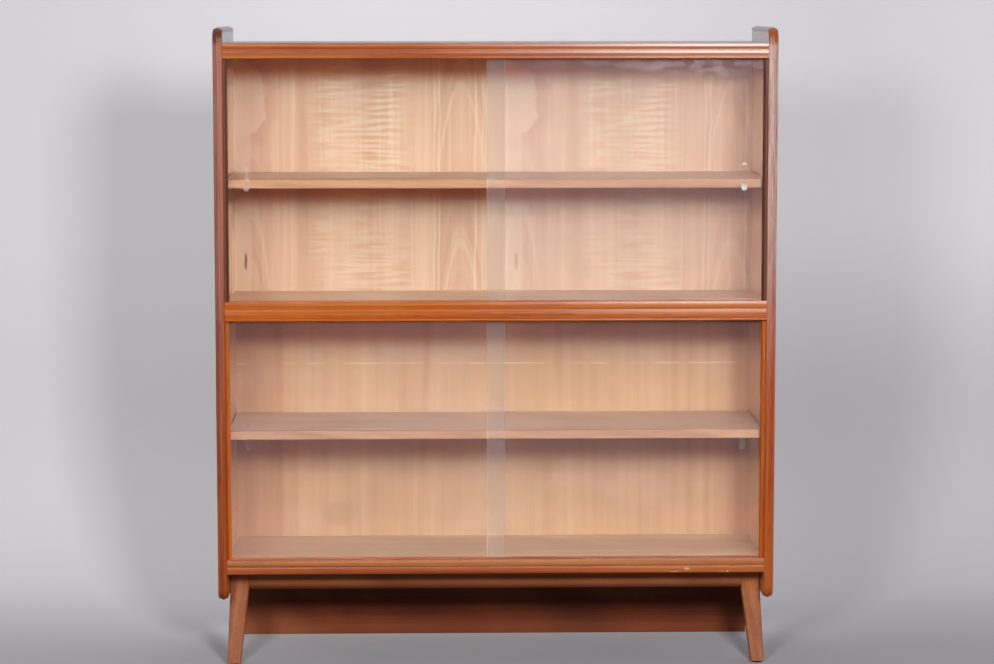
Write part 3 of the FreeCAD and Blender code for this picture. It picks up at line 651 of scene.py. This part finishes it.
def glass(name, side, low_z, film, end_highlight, ground_middle, smears=()):
    """Clear glass with a film that is partly dust and partly painted reflection, a ground finger
    pull with a painted highlight at its ends, and ground edges.
    """
    g = Surface(name)
    sign = SIGNS[side]
    body = g.principled(CLEAR_TONE, 0.0, IOR=GLASS_IOR, Transmission_Weight=1.0)
    # the finger pull, an upright ground slot with round ends; the whiter frost near its ends is a
    # painted highlight of the lamps
    rise = g.minus(g.z, low_z + PULL_RISE)
    across = g.times(g.minus(g.x, PULL_X * sign), 1 / PULL_HALF_WIDTH)
    past_straight = g.larger(g.minus(g.absolute(rise), PULL_HALF_STRAIGHT), 0.0)
    upright = g.times(past_straight, 1 / PULL_HALF_WIDTH)
    scoop = g.span(g.squares(across, upright), 1.06, 0.92)
    scoop = g.times(scoop, g.below(g.y, PANE_FRONT[side] + PULL_DEPTH))
    ends = g.larger(g.span(rise, -0.010, -0.024, 0.0, 0.9), g.span(rise, 0.021, 0.027, 0.0, 0.7))
    ground = g.times(scoop, g.add(g.times(ends, end_highlight), ground_middle))
    edge = g.above(g.absolute(g.facing("X")), 0.5)
    # a thin film, partly dust and partly a painted reflection that is stronger on some panes, with
    # smears where the pane is wiped unevenly
    wipe = g.clouds(5.0, 0.0, 8.0, detail=3.0, roughness=0.6, distortion=0.8)
    dust_and_reflection = g.times(g.span(wipe, 0.2, 0.8, 0.75, 1.25), film)
    for centre, reach, share in smears:
        cloudy = g.clouds(26.0, 0.0, 46.0, detail=3.0, distortion=0.35)
        smear = g.times(g.spot(centre, reach, 0.9, 1.5), g.span(cloudy, 0.36, 0.70))
        dust_and_reflection = g.add(dust_and_reflection, g.times(smear, share))
    haze = g.principled(DUST_AND_REFLECTION_TONE, 0.6)
    frost = g.principled(FROST[side], 0.3, IOR=GLASS_IOR)
    cover = g.larger(dust_and_reflection, g.larger(ground, g.times(edge, 0.5)))
    pane = g.blend(cover, body, g.blend(g.larger(scoop, edge), haze, frost))
    clear = g.new("ShaderNodeBsdfTransparent", Color=SHADOW_TONE).outputs[0]
    return g.finish(g.blend(g.ray("Shadow"), pane, clear))


def metal(name, tone, rough):
    """Turned metal with some tarnish."""
    g = Surface(name)
    turned = g.clouds(3000.0, 200.0, 200.0)
    tarnish = g.clouds(300.0, 300.0, 300.0, detail=3.0)
    tint = g.mix(g.span(tarnish, 0.4, 0.7, 0.0, 0.6), tone, TARNISH)
    gloss = g.span(tarnish, 0.3, 0.7, rough, rough + 0.2)
    return g.finish(g.principled(tint, gloss, g.bump(turned, 0.2, 0.0002), Metallic=1.0))


def plastic(name):
    """Dark scuffed plastic."""
    g = Surface(name)
    scuff = g.clouds(400.0, 400.0, 400.0, detail=3.0)
    tint = g.mix(g.span(scuff, 0.5, 0.75), PLASTIC, SCUFF)
    return g.finish(g.principled(tint, 0.55, g.bump(scuff, 0.3, 0.0003)))


def dress(name, material):
    """Give a node of the frame its material."""
    node = nodes[name]
    node.data.materials.clear()
    node.data.materials.append(material)


# The carcass

PANEL_SEEDS = {"left": 4.0, "right": 6.0}
# Shares of the lippings' painted sheen: most, least, and on the inner half.
LIPPING_SHEEN = {"left": (0.24, 0.06, 0.25), "right": (0.85, 0.03, 0.9)}
# Tones of painted shade on the lippings' curved heads, much darker on the left.
LIPPING_HEAD_SHADE = {"left": colour(104, 42, 28), "right": colour(196, 104, 40)}
FASCIA_MARKS = [
    ((0.0, -0.156, 0.2235), (0.7, 0.05, 0.0055), colour(240, 168, 98), 0.4),
    ((0.4127, -0.158, 0.2095), (0.0062, 0.006, 0.0028), CHIP, 0.9),
    ((0.385, -0.158, 0.2030), (0.0100, 0.006, 0.0014), CHIP, 0.7),
    ((0.500, -0.158, 0.2032), (0.0040, 0.006, 0.0022), CHIP, 0.85),
    ((0.489, -0.158, 0.2034), (0.0024, 0.006, 0.0014), CHIP, 0.6),
]
FASCIAS = {
    "top_fascia": (1.0, OAK, {"coat": worn_to_left, "coat_ior": 2.3}),
    "middle_fascia": (2.0, ORANGE, {"coat": worn_to_left, "coat_ior": 1.8}),
    "bottom_fascia": (3.0, BROWN, {"coat": 1.0, "marks": FASCIA_MARKS}),
}
RUNNERS = ("upper_runner_bottom", "upper_runner_top", "lower_runner_bottom", "lower_runner_top")
BACK_MARKS = [((-0.352, 0.153, 0.274), (0.040, 0.02, 0.026), colour(196, 150, 112), 0.55)]
BOARD_STAINS = [
    ((-0.375, -0.110, 0.223), (0.085, 0.014, 0.02), STAIN_MARK, 0.55),
    ((-0.300, -0.095, 0.223), (0.060, 0.022, 0.02), STAIN_MARK, 0.30),
    ((0.210, -0.105, 0.223), (0.120, 0.014, 0.02), STAIN_MARK, 0.30),
]
BOARDS = {
    "top_board": {"coat": 1.0, "coat_rough": 0.12},
    "middle_board": {"coat": 0.3},
    "bottom_board": {"coat": 0.3, "marks": BOARD_STAINS},
}
POLISHED = (0.3, 0.45)              # the span of roughness of boards and shelves

for name, (seed, tones, finish) in FASCIAS.items():
    dress(name, oak("oak_" + name, "xzy", seed, tones, **finish))
for seed, name in enumerate(RUNNERS, start=8):
    dress(name, oak("oak_" + name, "xyz", seed, OAK))
for side, seed in PANEL_SEEDS.items():
    dress("side_panel_" + side, side_skin("side_veneer_" + side, seed))
    dress("side_lipping_" + side,
          oak("oak_lipping_" + side, "zx-", seed, SIDE_LIPPINGS[side], path=lipping_path,
              details=(painted_sheen(*LIPPING_SHEEN[side]), shaded_head(LIPPING_HEAD_SHADE[side])),
              coat=worn_to_foot, coat_rough=0.45, coat_ior=1.9))
    dress("lower_channel_" + side,
          oak("oak_lower_channel_" + side, "zxy", seed + 1, BROWN, coat=0.1))
    # The upper channels take the dark tone of painted shade.
    dress("upper_channel_" + side,
          oak("oak_upper_channel_" + side, "zxy", seed + 2, SHADED_POST, details=(pale_outer_edge,),
              coat=0.1))

dress("upper_back", maple("maple_upper_back", "zxy", 0.0, UPPER_BACK, pores=0.12, spacing=0.02,
                          details=(leaf_figure, knots)))
dress("lower_back", maple("maple_lower_back", "zxy", 5.0, LOWER_BACK, pores=0.06, slope=0.02,
                          spacing=0.02, marks=BACK_MARKS, details=(lower_figure,)))
for seed, (name, finish) in enumerate(BOARDS.items(), start=11):
    dress(name, maple("maple_" + name, "xyz", seed, BOARD, rough=POLISHED, dark_underside=True,
                      **finish))
for index, level in enumerate(("upper", "lower")):
    shelf = level + "_shelf"
    dress(shelf, maple("maple_" + shelf, "xyz", 14.0 + index, SHELVES[level], rough=POLISHED,
                       dark_underside=True, coat=0.3))
    lipping = shelf + "_lipping"
    dress(lipping, maple("maple_" + lipping, "xzy", 17.0 + index, SHELF_LIPPINGS[level],
                         spacing=0.006, coat=0.0))

# The stand

STEEL, BRASS = colour(190, 188, 184), colour(196, 160, 96)

for side, sign in SIGNS.items():
    dress("front_leg_" + side,
          maple("beech_leg_" + side, "zxy", 20.0 + sign, BEECH, pores=0.5, spacing=0.005))
    dress("side_rail_" + side,
          maple("beech_side_rail_" + side, "yzx", 22.0 + sign, BEECH, pores=0.5, spacing=0.006))
    dress("glide_" + side, plastic("glide_plastic_" + side))
dress("front_rail", maple("beech_front_rail", "xzy", 25.0, BEECH, pores=0.5, spacing=0.006,
                          details=(painted_shade_lower_edge,)))
dress("rear_board", maple("stained_rear_board", "xzy", 27.0, STAINED, pores=0.5, spacing=0.008,
                          details=(painted_light_patches,)))
for number in range(1, 5):
    dress("corner_block_%d" % number,
          maple("beech_block_%d" % number, "xyz", 30.0 + number, BEECH, pores=0.5))
    dress("block_screw_%d" % number, metal("screw_steel_%d" % number, STEEL, 0.3))
    for level in ("upper", "lower"):
        place = "%s_%d" % (level, number)
        dress("%s_shelf_pin_%d" % (level, number), metal("pin_brass_" + place, BRASS, 0.25))

# The panes

PANE_LOW = {"upper": 0.7863, "lower": 0.2263}
SMEARS = [
    ((0.46, -0.13, 1.292), (0.13, 0.02, 0.022), 0.22),
    ((0.30, -0.13, 1.296), (0.16, 0.02, 0.014), 0.12),
]
# Each pane's film of dust and painted reflection, and the painted highlight at its pull's ends.
PANES = {
    ("upper", "left"): {"film": 0.012, "end_highlight": 0.3, "ground_middle": 0.2},
    ("upper", "right"): {"film": 0.085, "end_highlight": 1.0, "ground_middle": 0.1, "smears": SMEARS},
    ("lower", "left"): {"film": 0.055, "end_highlight": 0.12, "ground_middle": 0.05},
    ("lower", "right"): {"film": 0.055, "end_highlight": 0.12, "ground_middle": 0.05},
}
for (level, side), finish in PANES.items():
    dress("%s_glass_%s" % (level, side),
          glass("glass_%s_%s" % (level, side), side, PANE_LOW[level], **finish))


# Stage: a floor, a curved backdrop that is seen from the front only, two lamps and the world

# The paper darkens to the right: painted shade, where the lamps' light falls off.
PAPER_LEFT, PAPER_RIGHT_SHADED = colour(240, 239, 244), colour(222, 219, 225)
PAPER_SPAN = (-1.3, 1.5)            # where the tone changes, from left to right
NEAR_SHADE = 0.87                   # the paper in front of the object is a little darker
BOUNCE_FRONT, BOUNCE_REAR = 0.12, 0.4   # the share of its tone that lights the object
GLOW_RUN = (-0.35, 1.1)             # where the glow sets in, along the floor and up the wall
GLOW_WALL, GLOW_HIGH, GLOW_TOP, GLOW_UNDER = 0.27, 0.05, 0.085, 0.055
GLOW_LOW_RIGHT, GLOW_HIGH_RIGHT, GLOW_FAR_RIGHT = -0.095, 0.185, 0.08
FLOOR_DEPTH, FLOOR_HALF_SIZE = -0.0004, 14.0
WALL_Y, WALL_TOP, WALL_HALF_WIDTH = 1.0, 5.0, 6.0
COVE, COVE_STEPS = 0.55, 16         # radius and steps of the curve between floor and wall
LAMP_TARGET, LAMP_HEIGHT = Vector((0.0, 0.0, 0.75)), 0.7
SKY_FRONT, SKY_REAR = 0.02, 0.5     # the world's strength


def paper(name, one_sided=False):
    """Matt paper. As the camera, glass and gloss see it, it adds a little light of its own."""
    g = Surface(name)
    rightness = g.span(g.x, *PAPER_SPAN)
    path = g.add(g.y, g.z)
    near = g.span(path, -0.1, 0.6, NEAR_SHADE, 1.0)
    tone = g.dimmed(g.mix(rightness, PAPER_LEFT, PAPER_RIGHT_SHADED), near)
    bounce = g.span(g.y, -1.2, -0.2, BOUNCE_FRONT, BOUNCE_REAR)
    matt = g.principled(g.dimmed(tone, g.larger(g.ray("Camera"), bounce)), 0.9)
    # the glow changes with the height, from left to right, and under the object
    high = g.times(g.span(g.z, 0.35, 0.95), g.add(g.times(rightness, GLOW_HIGH_RIGHT), GLOW_HIGH))
    side = g.add(g.times(rightness, GLOW_LOW_RIGHT), high)
    side = g.add(side, g.span(g.x, 0.85, 1.3, 0.0, GLOW_FAR_RIGHT))
    off_centre = g.absolute(g.add(g.x, 0.05))
    centre = g.times(g.span(off_centre, 1.1, 0.2), g.span(g.z, 1.1, 1.45, 0.0, GLOW_TOP))
    glow = g.times(g.span(path, *GLOW_RUN), g.add(g.add(side, GLOW_WALL), centre))
    under = g.times(g.span(g.absolute(g.x), 0.64, 0.44), g.span(path, 0.45, 0.2))
    glow = g.add(glow, g.times(under, GLOW_UNDER))
    both = g.new("ShaderNodeAddShader")
    g.put(both.inputs[0], matt)
    g.put(both.inputs[1], g.new("ShaderNodeEmission", Color=tone, Strength=glow).outputs[0])
    seen = g.larger(g.ray("Camera"), g.larger(g.ray("Glossy"), g.ray("Transmission")))
    result = g.blend(seen, matt, both.outputs[0])
    if one_sided:
        behind = g.new("ShaderNodeNewGeometry").outputs["Backfacing"]
        result = g.blend(behind, result, g.new("ShaderNodeBsdfTransparent").outputs[0])
    return g.finish(result)


def sheet_of(name, profile, half_width, material):
    """A sheet of paper swept along X from a profile of (y, z) points."""
    points = []
    for y, z in profile:
        points += [(-half_width, y, z), (half_width, y, z)]
    faces = [(2 * i, 2 * i + 1, 2 * i + 3, 2 * i + 2) for i in range(len(profile) - 1)]
    mesh = bpy.data.meshes.new(name)
    mesh.from_pydata(points, [], faces)
    mesh.materials.append(material)
    for face in mesh.polygons:
        face.use_smooth = True
    thing = bpy.data.objects.new(name, mesh)
    scene.collection.objects.link(thing)
    return thing


def lamp(name, place, width, power):
    """A soft lamp that is aimed at the object."""
    light = bpy.data.lights.new(name, "AREA")
    light.shape = "RECTANGLE"
    light.size = width
    light.size_y = LAMP_HEIGHT
    light.energy = power
    thing = bpy.data.objects.new(name, light)
    thing.location = place
    thing.rotation_mode = "QUATERNION"
    thing.rotation_quaternion = (LAMP_TARGET - Vector(place)).to_track_quat("-Z", "Y")
    scene.collection.objects.link(thing)


cove = []
for step in range(COVE_STEPS + 1):
    turned = step / COVE_STEPS * math.pi / 2
    cove.append((WALL_Y - COVE + COVE * math.sin(turned), COVE - COVE * math.cos(turned)))
floor = sheet_of("studio_floor", [(-FLOOR_HALF_SIZE, 0.0), (FLOOR_HALF_SIZE, 0.0)], FLOOR_HALF_SIZE,
                 paper("floor_paper"))
floor.location.z = FLOOR_DEPTH
backdrop = sheet_of("backdrop", [*cove, (WALL_Y, WALL_TOP)], WALL_HALF_WIDTH,
                    paper("backdrop_paper", one_sided=True))
backdrop.visible_shadow = False
backdrop.visible_diffuse = False

lamp("key_right", (0.92, -4.07, 2.0), 0.65, 71.0)
lamp("key_left", (-1.35, -4.07, 2.0), 0.6, 45.0)

# The world lights the object mostly from the rear. The camera sees it as plain grey.
sky = Graph(bpy.data.worlds.new("studio"), "ShaderNodeOutputWorld")
rearward = sky.apart(sky.new("ShaderNodeTexCoord").outputs["Generated"])["Y"]
strength = sky.span(rearward, -0.35, 0.35, SKY_FRONT, SKY_REAR)
lit = sky.new("ShaderNodeBackground", Color=colour(246, 246, 252), Strength=strength)
seen = sky.new("ShaderNodeBackground", Color=colour(172, 171, 176))
scene.world = sky.finish(sky.blend(sky.ray("Camera"), lit.outputs[0], seen.outputs[0]))

# Camera, at the photograph's place. FOCUS and SHIFT are in pixels, the turns in radians.

PICTURE_WIDTH = 994
FOCUS, SHIFT = 2645.562, -60
SENSOR = 36.0
YAW, PITCH, ROLL = 0.021175, 0.09973, 0.00026
PLACE = (-0.117213, -5.778368, 1.417979)
camera = bpy.data.cameras.new("camera")
camera.sensor_width = SENSOR
camera.lens = FOCUS / PICTURE_WIDTH * SENSOR
camera.shift_y = SHIFT / PICTURE_WIDTH
cos_yaw, sin_yaw = math.cos(YAW), math.sin(YAW)
cos_pitch, sin_pitch = math.cos(PITCH), math.sin(PITCH)
level_right = Vector((cos_yaw, -sin_yaw, 0))
tilted_up = Vector((sin_pitch * sin_yaw, sin_pitch * cos_yaw, cos_pitch))
ahead = Vector((cos_pitch * sin_yaw, cos_pitch * cos_yaw, -sin_pitch))
right = level_right * math.cos(ROLL) - tilted_up * math.sin(ROLL)
up = level_right * math.sin(ROLL) + tilted_up * math.cos(ROLL)
eye = bpy.data.objects.new("camera", camera)
eye.matrix_world = Matrix.Translation(PLACE) @ Matrix((right, up, -ahead)).transposed().to_4x4()
scene.collection.objects.link(eye)
scene.camera = eye

scene.view_settings.view_transform = "Standard"
